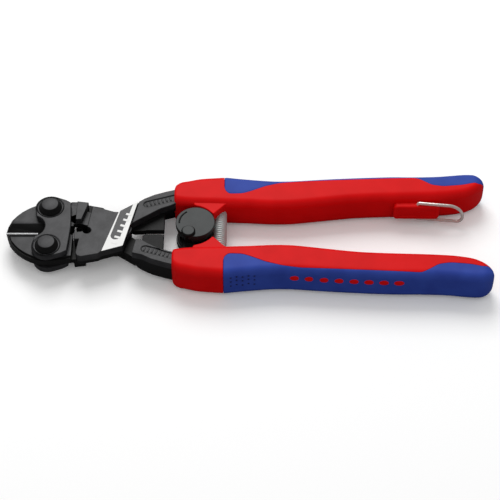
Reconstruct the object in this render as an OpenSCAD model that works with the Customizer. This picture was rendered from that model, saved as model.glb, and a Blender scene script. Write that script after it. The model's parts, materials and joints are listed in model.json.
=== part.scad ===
// Compact lever bolt cutters: two jaws between link plates, crossed handles on one pivot,
// two-part grips, a turning lock, an opening spring and a tether bail.
// Frame: +Z up, the tool lies flat, jaws towards -X, origin under the middle of its box.

/* [Overall] */
// From the jaw tips to the jaw bolts, along the tool
tip_to_bolt = 18; // [16:0.5:22]
// From the jaw bolts to the handle pivot
bolt_to_pivot = 30; // [29.8:0.2:36]
// From the handle pivot to the ends of the grips
pivot_to_end = 152; // [140:0.2:190]
// Thickness of the steel arms, and of the head over its link plates
arm_thick = 10.3; // [9.6:0.1:12]
// Thickness of the grips, the thickest thing on the tool
grip_thick = 14.7; // [14.2:0.1:17]

/* [Head] */
// Distance between the two jaw bolts
bolt_spread = 20.6; // [20:0.2:24]
// Radius of a jaw bolt's shank
bolt_r = 3; // [2.5:0.1:3.6]
// Radius of a jaw bolt's head
bolt_head_r = 4.8; // [4.2:0.1:5.4]
// Thickness of each link plate
plate_thick = 2.7; // [2.2:0.1:2.9]
// Radius of the link plates round each bolt
plate_lobe_r = 6.3; // [5.9:0.1:6.6]
// Half width of both jaws together
jaw_half_width = 15.9; // [15:0.1:17]
// Width of the ground bevel beside the cutting edge
bevel_width = 3.9; // [2.5:0.1:4.5]
// Gap between each cutting edge and the middle plane
edge_gap = 0.05; // [0.03:0.01:0.15]

/* [Handle joint] */
// Radius of the handle pivot's stout body
rivet_r = 4.2; // [3.4:0.1:4.8]
// Radius of the pivot's neck, riveted flush under the label
rivet_neck_r = 2.8; // [2.2:0.1:3.1]
// Radius of each knuckle pin
knuckle_r = 1.8; // [1.5:0.1:2]
// Play round each knuckle pin in the jaw's tongue
knuckle_play = 0.2; // [0.17:0.01:0.3]
// Gap between the two lapped arms
lap_gap = 0.3; // [0.2:0.05:0.5]
// Thickness of the thin webs that face each other between the arms
web_thick = 2.5; // [1.5:0.1:3]

/* [Grips] */
// From the pivot to the front of the grips
pivot_to_grip = 21.5; // [20.7:0.1:23]
// Radius of the grips' long edges
grip_edge_r = 4.5; // [3:0.1:5]
// Depth of the soft pad on the grip's outer side
pad_depth = 1.8; // [1.2:0.1:2.4]
// Depth of the soft pad where it wraps on to the flat faces
pad_wrap = 1.5; // [1:0.1:2]

/* [Lock] */
// Radius of the lock's discs
lock_r = 8.1; // [7.4:0.1:8.4]
// Thickness of a lock disc at its rim
lock_rim = 2; // [1.6:0.1:2.4]
// Radius of the lock's pivot rivet
lock_rivet_r = 2; // [1.6:0.1:2.4]
// Radius of the pin that the lock holds
catch_r = 1.5; // [1.2:0.1:1.8]
// Angle that the lock turns to catch the pin
lock_turn = 35; // [30:1:38]

/* [Spring] */
// Outer radius of the opening spring
spring_r = 2.8; // [2.2:0.1:3]
// Diameter of the spring's wire
spring_wire = 0.95; // [0.7:0.05:1.2]

/* [Tether] */
// Diameter of the bail's wire
bail_wire = 1.3; // [1:0.1:1.6]
// Length of the bail, from its hinge to its far end
bail_length = 19.7; // [17:0.1:22]
// Distance between the bail's two arms
bail_width = 9.3; // [8.5:0.1:10]
// From the bail's hinge to the ends of the grips
bail_to_end = 28.6; // [27:0.1:34]

/* [Hidden] */
$fn = 64;

steel = "#4c4c4e";
dark_steel = "#2f2f31";
bright = "#b9bcc0";
red = "#d5222a";
blue = "#2c3f9a";
white = "#f2f2f0";
over = 1;            // how far a cutter runs past the solid that it cuts
running = 0.05;      // radial play of a turning pin
face_gap = 0.05;     // play between flat faces that slide on each other

// Places along the tool
total_length = tip_to_bolt + bolt_to_pivot + pivot_to_end;
end_x = total_length / 2;
pivot_x = end_x - pivot_to_end;
arm_x = pivot_x - 0.8;   // the arms' outlines are measured from here
bolt_x = pivot_x - bolt_to_pivot;
tip_x = bolt_x - tip_to_bolt;
bolt_y = bolt_spread / 2;
grip_x = pivot_x + pivot_to_grip;
grip_len = end_x - grip_x;

// Heights
mid_z = grip_thick / 2;
arm_z0 = mid_z - arm_thick / 2;
arm_z1 = mid_z + arm_thick / 2;
jaw_z0 = arm_z0 + plate_thick + face_gap;
jaw_z1 = arm_z1 - plate_thick - face_gap;
lap_z = mid_z + lap_gap / 2;
tongue_z0 = lap_z + face_gap;
pocket_z = jaw_z1 + 0.15;
rivet_step_z = arm_z1 - 1.6;
spot_depth = 0.2;    // shallow seat round each bolt head
tang_half = 3.9;     // half thickness of the tangs inside the grips
tang_to_end = 38.5;
flange_inset = 1.3;  // the grips' inner flanges are this much thinner on each side

// The knuckle, where a handle drives a jaw's tongue
knuckle = [pivot_x - 11.2, 5.1];
tongue_r = knuckle_r + knuckle_play + 1.4;
pocket_r = tongue_r + 0.5;

// The lock's pivot lies on the lower handle, and the pin that it catches on the upper
lug_x = arm_x + 28.7;
lug_y = 4;
lug_r = 2.6;
lug_z0 = mid_z - 1.75;
lug_z1 = mid_z + 1.75;
lock_centre = [lug_x + 2.7, -lug_y + 5.5];
hub_r = lock_r - 0.7;
lock_z1 = grip_thick - 1.2;
hub_z0 = lug_z1 + 0.15;
groove_depth = 1.9;
catch_orbit = 2 * lug_y;
catch_slack = 0.25;
lock_room = 2.75;     // the grips are hollowed this far beyond the disc, for its turn

// The spring's line, just behind the lock
spring_x = arm_x + 41.6;
cup_r = spring_r + 0.7;
cup_bottom = 14.1;
cup_wall = 0.5;

// The tether at the tail of the upper grip
bail_x = end_x - bail_to_end;
bail_y = 12.6;
bail_pin_y = bail_y + 0.9;
bail_lean = 6;
housing_front = 10;   // the housing reaches this far before and behind the hinge
housing_back = 9.2;
housing_top = bail_width / 2 - bail_wire / 2 - 0.1;
slot_top = bail_width / 2 + bail_wire / 2 + 0.3;
tether_pin_depth = 2.2;

// Half of the grip's plan: distance from its front, inner edge, outer edge
GRIP = [[0, 13.0, 22.0], [2.5, 11.9, 24.2], [10.5, 11.4, 26.2], [16.5, 11.3, 26.8],
        [21.5, 11.1, 27.1], [31.8, 10.7, 25.9], [40.2, 10.2, 25.1], [46.5, 10.2, 25.0],
        [52.5, 10.7, 25.3], [63.5, 12.2, 26.2], [76.5, 13.8, 27.0], [90.5, 14.5, 27.6],
        [100.5, 14.8, 27.6], [110.5, 15.3, 27.9], [116.5, 15.9, 28.5], [122.5, 17.2, 29.1],
        [126.5, 19.4, 28.8], [129.5, 22.0, 27.0], [130.5, 24.0, 25.0]];
grip_nominal = GRIP[len(GRIP) - 1][0];

// How far the soft pad's edge lies in from the outer side, from the grip's front
PAD_EDGE = [[20.9, 9.9], [22.3, 10.8], [28.5, 9.9], [32, 8.2], [38, 4.8], [44.5, 2.6],
            [52, 1.8], [101, 1.8], [104, 3.4], [108, 6.3], [113, 7.4], [121, 7.4],
            [126, 6.0], [130.5, 3.2]];

// The corners of the label on the upper arm, measured as the arms' outlines are
label_corners = [[-0.5, 7.9], [-6.5, -13.6], [2.0, -10.6], [7.1, 13.3]];
label_thick = 0.15;
label_slot_r = 2.05;
label_slot_centre = [-1.2, -5.4];
label_slot_end = [4.0, 15.7];

function on_arm(pts) = [for (p = pts) [p[0] + arm_x, p[1]]];
function grip_at(s) = grip_x + s * grip_len / grip_nominal;

// A grip's plan, drawn in by an inset on every side
function grip_outline(inset) = concat(
    [for (g = GRIP) [inset_x(g[0], inset), g[1] + inset * edge_share(g)]],
    [for (i = [len(GRIP) - 1:-1:0])
        [inset_x(GRIP[i][0], inset), GRIP[i][2] - inset * edge_share(GRIP[i])]]);
function inset_x(s, inset) = grip_x + inset + s * (grip_len - 2 * inset) / grip_nominal;
function edge_share(g) = min(1, (g[2] - g[1]) / 12);
function outer_edge(s) = lookup(s, [for (g = GRIP) [g[0], g[2]]]);

// Outer half of a jaw in plan, a blunt ogive from the tip to the bolt
function jaw_nose(inset) = [for (t = [0:0.08:1])
    let (u = 1 - pow(1 - t, 1.5))
    [tip_x + inset + u * (tip_to_bolt - inset),
     (jaw_half_width - inset) * pow(1 - pow(1 - u, 1.9), 0.62) + edge_gap]];

// Turns the upper piece into the lower one: half a turn about the tool's long axis
module turned_over() {
    translate([0, 0, 2 * mid_z]) rotate([180, 0, 0]) children();
}

module slab(z0, z1, pts) {
    translate([0, 0, z0]) linear_extrude(z1 - z0) polygon(pts);
}

module post(p, z0, z1, r) {
    translate([p[0], p[1], z0]) cylinder(h = z1 - z0, r = r);
}

// ---- Jaws ----

module jaw_plan(inset) {
    tail_x = arm_x - 19.2;
    polygon(concat(jaw_nose(inset),
        [[bolt_x + 3.5, jaw_half_width - 0.3 - inset], [tail_x, 14.6 - inset], [tail_x, 2.4],
         [bolt_x + 0.5, edge_gap + 0.25], [bolt_x - 2.2, edge_gap + 0.2],
         [bolt_x - 2.4, edge_gap]]));
}

module upper_jaw_solid() {
    rim = 1.5;
    rim_inset = 0.9;
    nose_relief_r = 1.2;
    block_left = bolt_x + 11;
    difference() {
        union() {
            translate([0, 0, mid_z - rim]) linear_extrude(2 * rim) jaw_plan(0);
            translate([0, 0, jaw_z0]) linear_extrude(jaw_z1 - jaw_z0) jaw_plan(rim_inset);
            // Tail block that stands up behind the link plate
            slab(tongue_z0, arm_z1 - face_gap,
                 [[block_left, 3.8], [arm_x - 15.9, 3.8], [arm_x - 13.4, 13.1],
                  [block_left, 13.8]]);
            slab(tongue_z0, jaw_z1, [[block_left - 1.5, 3.2], [arm_x - 15.9, 3.8],
                 [arm_x - 13.4, 13.1], [block_left - 1.5, 13.9]]);
            // Tongue that reaches the knuckle pin
            slab(tongue_z0, jaw_z1, [[arm_x - 17.5, 3.9], [arm_x - 14, 10.5],
                 [knuckle[0] + 0.8, knuckle[1] + tongue_r - 0.1],
                 [knuckle[0] - 0.6, knuckle[1] - tongue_r + 0.1]]);
            post(knuckle, tongue_z0, jaw_z1, tongue_r);
        }
        post([bolt_x, bolt_y], 0, grip_thick, bolt_r + running);
        post(knuckle, 0, grip_thick, knuckle_r + knuckle_play);
        // Ground bevels above and below the cutting edge
        for (side = [0, 1])
            translate([tip_x - over, 0, mid_z]) mirror([0, 0, side]) rotate([90, 0, 90])
                linear_extrude(tip_to_bolt - 1.4 + over)
                    polygon([[-over, 0.1], [edge_gap + 0.1, 0.1],
                             [bevel_width, jaw_z1 - mid_z + 0.1], [-over, jaw_z1 - mid_z + 0.1]]);
        post([bolt_x - 1.5, 0], 0, grip_thick, nose_relief_r);
    }
}

module upper_jaw() color(steel) upper_jaw_solid();
module lower_jaw() color(steel) turned_over() upper_jaw_solid();

// ---- Link plates and their bolts ----

// Two lobes round the bolts, a flared back edge, and a round throat between the lobes
function link_plate_half() =
    let (throat = [bolt_x - 7.3, 5.8], r = plate_lobe_r)
    concat([for (a = [0:10:70]) [throat[0] + throat[1] * cos(a), throat[1] * sin(a)]],
           [for (a = [195:-15:75]) [bolt_x + r * cos(a), bolt_y + r * sin(a)]],
           [[bolt_x + 6.2, bolt_y + 4.3], [bolt_x + 8.4, bolt_y + 2.9], [bolt_x + 8.9, bolt_y - 3.8],
            [bolt_x + 9.2, 0]]);

module link_plate_plan() {
    half = link_plate_half();
    polygon(concat(half, [for (i = [len(half) - 2:-1:1]) [half[i][0], -half[i][1]]]));
}

module link_plate_solid() {
    difference() {
        translate([0, 0, arm_z1 - plate_thick]) linear_extrude(plate_thick) link_plate_plan();
        for (side = [1, -1]) {
            post([bolt_x, side * bolt_y], 0, grip_thick, bolt_r);
            post([bolt_x, side * bolt_y], arm_z1 - spot_depth, grip_thick, bolt_head_r + 0.7);
        }
    }
}

module bolt_head(p) {
    height = grip_thick - arm_z1 + spot_depth;
    translate([p[0], p[1], arm_z1 - spot_depth]) {
        cylinder(h = height / 2, r = bolt_head_r);
        translate([0, 0, height / 2])
            cylinder(h = height / 2, r1 = bolt_head_r, r2 = 0.75 * bolt_head_r);
    }
}

module jaw_bolt_solid(side) {
    p = [bolt_x, side * bolt_y];
    post(p, 0.6, arm_z1, bolt_r);
    bolt_head(p);
}

module front_link_plate() color(steel) link_plate_solid();
module back_link_plate() color(steel) turned_over() link_plate_solid();
module upper_jaw_bolt() color(steel) jaw_bolt_solid(1);
module lower_jaw_bolt() color(steel) jaw_bolt_solid(-1);
module jaw_bolt_nuts() {
    color(dark_steel) turned_over() for (side = [1, -1]) difference() {
        bolt_head([bolt_x, side * bolt_y]);
        post([bolt_x, side * bolt_y], 0, grip_thick + over, bolt_r);
    }
}

// ---- Handle arms ----

// The upper arm's front half, the layer that laps over the lower arm
module lap_plan() {
    difference() {
        polygon(on_arm([[-11.6, 11.2], [-2.5, 8.0], label_corners[0], label_corners[3],
            [9.8, 15.4], [13.8, 17.6], [18.8, 19.4], [23.8, 20.9], [23.8, 13.2], [20.8, 11.5],
            [16.9, 9.8], [12.8, 7.0], [7.1, 3.0], [4.8, 1.2], label_corners[2], label_corners[1],
            [-7.9, -14.9], [-14.8, -16.5], [-16.4, -15.9], [-17.1, -14.6], [-16.9, -11.9],
            [-16.3, -7.1], [-18.2, -7.1], [-18.5, -3.2], [-15.6, -2.9], [-13.3, -1.1]]));
        translate([arm_x - 13.2, -2.3]) circle(r = 1.7);
    }
}

// The arm's lower half, which stops short of the other arm's lap
module root_plan() {
    polygon(on_arm([[5.8, 14.3], [9.8, 15.4], [13.8, 17.6], [18.8, 19.4], [23.8, 20.9],
        [23.8, 14.6], [19.7, 13.2], [15.5, 11.1], [12.4, 9.2], [9.2, 6.9], [7.1, 6.9]]));
}

// The tang inside the grip, with the lug that carries a pin of the lock
module tang() {
    tang_x = end_x - tang_to_end;
    slab(mid_z - tang_half, mid_z + tang_half, concat(
        on_arm([[23, 13.9], [30.8, 14.8], [53, 15.0]]),
        [[tang_x - 1.5, 18], [tang_x, 19.5], [tang_x, 22.5], [tang_x - 1.5, 24]],
        on_arm([[53, 21.5], [30.8, 21.6], [23, 20.5]])));
    // Lug that stands in from the tang to the lock
    lug_root_y = 16;
    translate([lug_x - lug_r, lug_y, lug_z0])
        cube([2 * lug_r, lug_root_y - lug_y, lug_z1 - lug_z0]);
    post([lug_x, lug_y], lug_z0, lug_z1, lug_r);
}

// A handle's arm before its pivot and its lug are bored
module arm_blank() {
    panel_depth = 0.4;
    panel_r = 1.6;
    panel_length = 20;
    groove = 0.6;
    pin_cover = 0.5;    // steel left over the knuckle pin
    difference() {
        union() {
            translate([0, 0, lap_z]) linear_extrude(arm_z1 - lap_z) lap_plan();
            translate([0, 0, arm_z0]) linear_extrude(lap_z - arm_z0) root_plan();
            // Thin web towards the other arm
            slab(mid_z - web_thick / 2, mid_z + web_thick / 2,
                 on_arm([[9.5, 1.9], [10.5, 1.05], [18.4, 1.05], [18.4, 12], [9.8, 8]]));
            tang();
        }
        // Pocket under the lap for the jaw's tongue, and the knuckle pin's blind hole
        post(knuckle, mid_z - over, pocket_z, pocket_r);
        slab(mid_z - over, pocket_z, concat(
            [[knuckle[0] + 0.5 * pocket_r, knuckle[1] + 0.86 * pocket_r], [arm_x - 7.7, 14]],
            [[arm_x - 22, 14], [arm_x - 22, -0.5],
             [knuckle[0] - 0.2 * pocket_r, knuckle[1] - 0.97 * pocket_r]]));
        post(knuckle, mid_z - over, arm_z1 - pin_cover, knuckle_r);
        // Groove beside the label
        translate([arm_x, 0, arm_z1 - 0.5]) linear_extrude(over)
            polygon([label_corners[2] + [0, -over], label_corners[2] + [groove, -over],
                     label_corners[3] + [groove, over], label_corners[3] + [0, over]]);
        // Sunk panel along the arm, front and back
        for (z = [arm_z1 - panel_depth, arm_z0 - over])
            translate([arm_x + 11.2, 12.2, z]) rotate([0, 0, 18])
                linear_extrude(over + panel_depth) {
                    circle(r = panel_r);
                    translate([0, -panel_r]) square([panel_length, 2 * panel_r]);
                }
    }
}

module upper_handle_arm() {
    color(steel) difference() {
        arm_blank();
        // The bore turns on the pivot's body, and is stepped where its neck comes through
        post([pivot_x, 0], 0, rivet_step_z + running, rivet_r + running);
        post([pivot_x, 0], 0, grip_thick, rivet_neck_r + running);
        post([lug_x, lug_y], 0, grip_thick, catch_r);
    }
}

module lower_handle_arm() {
    color(steel) turned_over() difference() {
        arm_blank();
        post([pivot_x, 0], 0, grip_thick, rivet_r);
        post([lug_x, lug_y], 0, grip_thick, lock_rivet_r);
    }
}

module pivot_rivet() {
    color(steel) {
        post([pivot_x, 0], arm_z0 + 0.05, rivet_step_z, rivet_r);
        post([pivot_x, 0], arm_z0 + 0.05, arm_z1 - 0.1, rivet_neck_r);
    }
}

module knuckle_pin_solid() post(knuckle, lap_z + 0.02, arm_z1 - 0.5, knuckle_r);
module upper_knuckle_pin() color(bright) knuckle_pin_solid();
module lower_knuckle_pin() color(bright) turned_over() knuckle_pin_solid();

module label_slot() {
    along = label_slot_end - label_slot_centre;
    translate([arm_x + label_slot_centre[0], label_slot_centre[1]]) {
        circle(r = label_slot_r);
        rotate(atan2(along[1], along[0])) translate([0, -label_slot_r])
            square([norm(along), 2 * label_slot_r]);
    }
}

module label_border() {
    color(white) translate([0, 0, arm_z1]) linear_extrude(label_thick) difference() {
        polygon(on_arm(label_corners));
        label_slot();
    }
}

module label_field() {
    color(dark_steel) translate([0, 0, arm_z1]) linear_extrude(label_thick) intersection() {
        polygon(on_arm(label_corners));
        label_slot();
    }
}

// ---- Grips ----

// The grip's rounded body as slices, widest in the middle of its thickness
module grip_body() {
    steps = 5;
    for (i = [1:steps]) {
        depth = grip_edge_r * (1 - cos(90 * (i - 1) / steps));
        slab(depth, grip_thick - depth, grip_outline(grip_edge_r * (1 - sin(90 * i / steps))));
    }
    // Flange that stands in towards the lock and the spring
    slab(flange_inset, grip_thick - flange_inset,
         on_arm([[30.4, 13], [30.4, 11.4], [38.9, 6.1], [43.9, 11.6], [43.9, 13]]));
}

// The soft pad: all of the outer side, wrapped on to both faces at the thumb and at the tail
module pad_region() {
    edge = [for (p = PAD_EDGE) [grip_at(p[0]), outer_edge(p[0]) - p[1]]];
    wall = [for (g = GRIP) [grip_at(g[0]), g[2] - pad_depth]];
    beyond_y = 40;
    difference() {
        slab(-over, grip_thick + over,
             concat(edge, [[end_x + over, edge[len(edge) - 1][1]], [end_x + over, beyond_y],
                           [grip_at(PAD_EDGE[0][0]), beyond_y]]));
        slab(pad_wrap, grip_thick - pad_wrap,
             concat([[grip_x - over, 0]], wall, [[end_x - pad_depth, 24], [end_x - pad_depth, 0]]));
    }
}

module spring_bore() {
    translate([spring_x, cup_bottom, mid_z]) rotate([90, 0, 0]) cylinder(h = cup_bottom, r = cup_r);
}

module grip_core_solid() {
    difference() {
        grip_body();
        pad_region();
        tang();
        translate([0, 0, arm_z0]) linear_extrude(arm_thick) lap_plan();
        spring_bore();
        // Room for the turning lock
        post([lug_x + 0.9, 0], -over, grip_thick + over, lock_r + lock_room);
    }
}

module tether_slot() {
    slot_depth = 2.7;
    translate([bail_x - housing_front - 0.02, 0, mid_z - slot_top])
        cube([housing_front + bail_length, bail_y + slot_depth, 2 * slot_top]);
}

module upper_grip_core() {
    color(red) difference() {
        grip_core_solid();
        tether_slot();
    }
}
module lower_grip_core() color(red) turned_over() grip_core_solid();
module grip_pad_solid() {
    intersection() {
        grip_body();
        pad_region();
    }
}
module upper_grip_pad() color(blue) grip_pad_solid();
module lower_grip_pad() color(blue) turned_over() grip_pad_solid();

// ---- Lock ----

// A catch disc: rim on the outside, hub within, a hooked groove for the catch pin on its inner face
module lock_disc_solid() {
    pivot = [lug_x, -lug_y];
    groove_r = catch_r + catch_slack;
    groove_z = hub_z0 + groove_depth;
    end_angle = asin(groove_r / catch_orbit);
    difference() {
        union() {
            post(lock_centre, lock_z1 - lock_rim, lock_z1, lock_r);
            post(lock_centre, hub_z0, lock_z1, hub_r);
        }
        post(pivot, 0, grip_thick, lock_rivet_r + running);
        // Hooked groove: an arc about the lock's pivot, open outwards at the released end
        translate([pivot[0], pivot[1], hub_z0 - over]) rotate([0, 0, 90 - lock_turn - end_angle])
            rotate_extrude(angle = lock_turn + end_angle - 1)
                translate([catch_orbit - groove_r, 0]) square([2 * groove_r, groove_depth + over]);
        slab(hub_z0 - over, groove_z, [[lug_x - groove_r - 0.1, lug_y - groove_r - 0.1],
             [lug_x + groove_r + 0.1, lug_y - groove_r - 0.1],
             [lug_x + groove_r + 0.1, lug_y + 12], [lug_x - groove_r - 4.2, lug_y + 12],
             [lug_x - groove_r - 0.6, lug_y + 3]]);
    }
}

module lock_front_disc() {
    mark_r = 0.81 * lock_r;
    color(steel) difference() {
        lock_disc_solid();
        // Thin curved mark on the face
        translate([lock_centre[0], lock_centre[1], lock_z1 - 0.3]) rotate([0, 0, 124])
            rotate_extrude(angle = 61) translate([mark_r - 0.2, 0]) square([0.4, over]);
    }
}
module lock_back_disc() {
    color(steel) translate([0, 0, 2 * mid_z]) mirror([0, 0, 1]) lock_disc_solid();
}
module lock_spacer() {
    inner_x = lug_x - lug_r - 1.2;
    color(dark_steel) translate([0, 0, grip_thick - hub_z0]) linear_extrude(2 * hub_z0 - grip_thick)
        intersection() {
            translate(lock_centre) circle(r = hub_r);
            translate([inner_x - 10, lock_centre[1] - hub_r]) square([10, 2 * hub_r]);
        }
}

module lock_pivot_rivet() {
    pivot = [lug_x, -lug_y];
    head_r = lock_rivet_r + 0.9;
    chamfer = 0.55;
    head_height = grip_thick - lock_z1 - face_gap;
    color(steel) {
        post(pivot, grip_thick - lock_z1 - chamfer, lock_z1 + chamfer, lock_rivet_r);
        for (side = [0, 1]) translate([pivot[0], pivot[1], mid_z]) mirror([0, 0, side])
            translate([0, 0, lock_z1 - mid_z + face_gap]) {
                cylinder(h = head_height - chamfer, r = head_r);
                translate([0, 0, head_height - chamfer])
                    cylinder(h = chamfer, r1 = head_r, r2 = head_r - chamfer);
            }
    }
}

module lock_catch_pin() {
    reach = groove_depth - 0.3;
    color(bright) post([lug_x, lug_y], grip_thick - hub_z0 - reach, hub_z0 + reach, catch_r);
}

// ---- Opening spring ----

module opening_spring() {
    half = cup_bottom - cup_wall - 0.05;
    color(bright) translate([spring_x, half, mid_z]) rotate([90, 0, 0]) difference() {
        cylinder(h = 2 * half, r = spring_r);
        translate([0, 0, -over]) cylinder(h = 2 * half + 2 * over, r = spring_r - spring_wire);
    }
}

module spring_cup_solid() {
    cup_rim = 11.2;
    translate([spring_x, cup_bottom, mid_z]) rotate([90, 0, 0]) difference() {
        cylinder(h = cup_bottom - cup_rim, r = cup_r);
        translate([0, 0, cup_wall]) cylinder(h = cup_bottom, r = cup_r - cup_wall);
    }
}
module upper_spring_cup() color(bright) spring_cup_solid();
module lower_spring_cup() color(bright) turned_over() spring_cup_solid();

// ---- Tether ----

module tether_housing() {
    wall_depth = 3.2;
    color(red) difference() {
        translate([bail_x - housing_front, bail_y - 0.6, mid_z - housing_top])
            cube([housing_front + housing_back, wall_depth, 2 * housing_top]);
        for (side = [0, 1]) translate([bail_x, bail_pin_y, mid_z]) mirror([0, 0, side])
            translate([0, 0, housing_top - tether_pin_depth])
                cylinder(h = tether_pin_depth + over, r = bail_wire / 2 + running);
    }
}

// A wire bow: two arms over the housing, joined by a rounded end, with their tips turned in
module tether_bail() {
    r = bail_wire / 2;
    bend = 2.4;
    half = bail_width / 2;
    reach = bail_length - r;
    color(bright) translate([bail_x, bail_pin_y, mid_z]) rotate([0, 0, -bail_lean]) {
        for (side = [0, 1]) mirror([0, 0, side]) {
            translate([0, 0, half - tether_pin_depth]) cylinder(h = tether_pin_depth, r = r);
            translate([0, 0, half]) sphere(r = r);
            translate([0, 0, half]) rotate([0, 90, 0]) cylinder(h = reach - bend, r = r);
            translate([reach - bend, 0, half - bend]) rotate([90, 0, 0])
                rotate_extrude(angle = 90) translate([bend, 0]) circle(r = r);
        }
        translate([reach, 0, bend - half]) cylinder(h = 2 * (half - bend), r = r);
    }
}

lower_handle_arm();
lower_grip_core();
lower_grip_pad();
pivot_rivet();
lower_knuckle_pin();
lock_pivot_rivet();
opening_spring();
lower_spring_cup();
upper_handle_arm();
upper_grip_core();
upper_grip_pad();
upper_knuckle_pin();
lock_catch_pin();
label_border();
label_field();
tether_housing();
upper_spring_cup();
front_link_plate();
back_link_plate();
upper_jaw_bolt();
lower_jaw_bolt();
jaw_bolt_nuts();
upper_jaw();
lower_jaw();
lock_front_disc();
lock_back_disc();
lock_spacer();
tether_bail();
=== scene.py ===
# %% [markdown]
# # Compact bolt cutters
# These cutters lie flat on a white table, closed. The steel head, the arms and the lock come from the
# CAD frame, and this notebook gives them soft edges and real finishes. The bolts, the grips, the
# spring, the tether and the studio are made here. The large sizes are measured on the frame. Small
# details, such as ribs, bars and edge radii, have their sizes given here.

# %% Load the frame
import json
import math
import bmesh
import bpy
from mathutils import Matrix, Vector
from mathutils.bvhtree import BVHTree


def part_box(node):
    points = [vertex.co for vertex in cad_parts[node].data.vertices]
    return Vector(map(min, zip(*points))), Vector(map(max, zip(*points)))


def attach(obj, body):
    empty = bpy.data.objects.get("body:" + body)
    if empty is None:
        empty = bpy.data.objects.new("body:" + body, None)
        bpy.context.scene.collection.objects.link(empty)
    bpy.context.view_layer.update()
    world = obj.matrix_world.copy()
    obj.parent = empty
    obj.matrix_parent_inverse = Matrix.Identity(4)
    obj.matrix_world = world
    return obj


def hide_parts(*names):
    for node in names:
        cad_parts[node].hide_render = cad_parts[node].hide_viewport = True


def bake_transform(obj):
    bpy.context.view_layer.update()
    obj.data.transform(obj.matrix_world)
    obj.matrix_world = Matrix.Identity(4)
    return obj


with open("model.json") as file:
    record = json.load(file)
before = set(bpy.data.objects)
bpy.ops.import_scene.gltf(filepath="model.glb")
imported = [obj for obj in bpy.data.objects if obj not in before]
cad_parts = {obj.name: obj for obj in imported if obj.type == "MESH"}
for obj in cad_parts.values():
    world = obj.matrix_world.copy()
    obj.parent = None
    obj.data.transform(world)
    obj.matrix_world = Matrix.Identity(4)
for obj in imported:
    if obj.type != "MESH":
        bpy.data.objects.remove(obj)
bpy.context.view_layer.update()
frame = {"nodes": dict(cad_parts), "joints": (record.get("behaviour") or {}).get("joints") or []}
MM = 0.001

# %% [markdown]
# ## Colours and nodes
# A colour is written as the hex value that a colour picker shows, and Blender's shaders work in linear
# light, so one function turns the first into the second. One helper adds a node with its settings and
# its links, which keeps each finish short enough to read as a recipe.

# %% Helpers for every finish
def linear(code):
    """An sRGB hex value as the linear colour that a shader takes."""
    shares = [int(code[i:i + 2], 16) / 255 for i in (1, 3, 5)]
    return [c / 12.92 if c <= 0.04045 else ((c + 0.055) / 1.055) ** 2.4 for c in shares] + [1]


def add(tree, kind, settings=(), links=()):
    """Adds a node. Settings name its sockets or properties, and links name or number its sockets."""
    node = tree.nodes.new(kind)
    for name, value in dict(settings).items():
        if hasattr(node, str(name)):
            setattr(node, name, value)
        else:
            node.inputs[name].default_value = value
    for name, socket in dict(links).items():
        tree.links.new(socket, node.inputs[name])
    return node


def new_finish(name, settings=()):
    """A material with only its shader, its output and the piece's Object coordinates."""
    material = bpy.data.materials.new(name)
    material.use_nodes = True
    tree = material.node_tree
    tree.nodes.clear()
    shader = add(tree, "ShaderNodeBsdfPrincipled", settings)
    add(tree, "ShaderNodeOutputMaterial", links={"Surface": shader.outputs["BSDF"]})
    return material, tree, shader, add(tree, "ShaderNodeTexCoord").outputs["Object"]


print("helpers ready")

# %% [markdown]
# ## The steel finishes
# Blasting leaves a fine matt grain, and the black oxide is thin, so the steel reads as dark grey with
# soft patches and not as paint. The patches are a large noise in the colour, and the grain is a small
# noise in the roughness and the bump. A mask on height paints shade: what lies low, such as the side of
# an arm or a jaw or the cone of a bolt, is painted nearly black and given less gleam, in place of the
# shadow that falls there, so that the flat tops stand out.

# %% Blackened forged steel, with painted shade low down
def blackened_steel_with_painted_shade(name, dark, light, grain_mm, painted_shade_below=0.0):
    """Dark oxide over blasted steel, with painted shade: nearly black and less glossy below a height."""
    material, tree, shader, place = new_finish(name, {"Metallic": 0.2})
    patches = add(tree, "ShaderNodeTexNoise", {"Scale": 1 / (5 * MM), "Detail": 3.0}, {"Vector": place})
    share = add(tree, "ShaderNodeMapRange", {"From Min": 0.35, "From Max": 0.65},
                {"Value": patches.outputs["Fac"]})
    oxide = add(tree, "ShaderNodeMix", {"data_type": "RGBA", 6: linear(dark), 7: linear(light)},
                {0: share.outputs["Result"]})
    apart = add(tree, "ShaderNodeSeparateXYZ", links={"Vector": place})
    # Painted shade: below the height the colour turns nearly black and the gleam drops.
    low = add(tree, "ShaderNodeMath", {"operation": "LESS_THAN", 1: painted_shade_below}, {0: apart.outputs["Z"]})
    colour = add(tree, "ShaderNodeMix", {"data_type": "RGBA", 7: linear("#181818")},
                 {0: low.outputs[0], 6: oxide.outputs[2]})
    tree.links.new(colour.outputs[2], shader.inputs["Base Color"])
    gleam = add(tree, "ShaderNodeMapRange", {"To Min": 0.42, "To Max": 0.15}, {"Value": low.outputs[0]})
    tree.links.new(gleam.outputs["Result"], shader.inputs["Specular IOR Level"])
    grain = add(tree, "ShaderNodeTexNoise", {"Scale": 1 / (grain_mm * MM), "Detail": 3.0},
                {"Vector": place})
    rough = add(tree, "ShaderNodeMapRange", {"To Min": 0.38, "To Max": 0.56}, {"Value": grain.outputs["Fac"]})
    tree.links.new(rough.outputs["Result"], shader.inputs["Roughness"])
    bump = add(tree, "ShaderNodeBump", {"Strength": 0.4, "Distance": 0.05 * MM},
               {"Height": grain.outputs["Fac"]})
    tree.links.new(bump.outputs["Normal"], shader.inputs["Normal"])
    return material


# Painted shade: the arms, the jaws and the bolts are painted nearly black below these heights.
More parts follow.
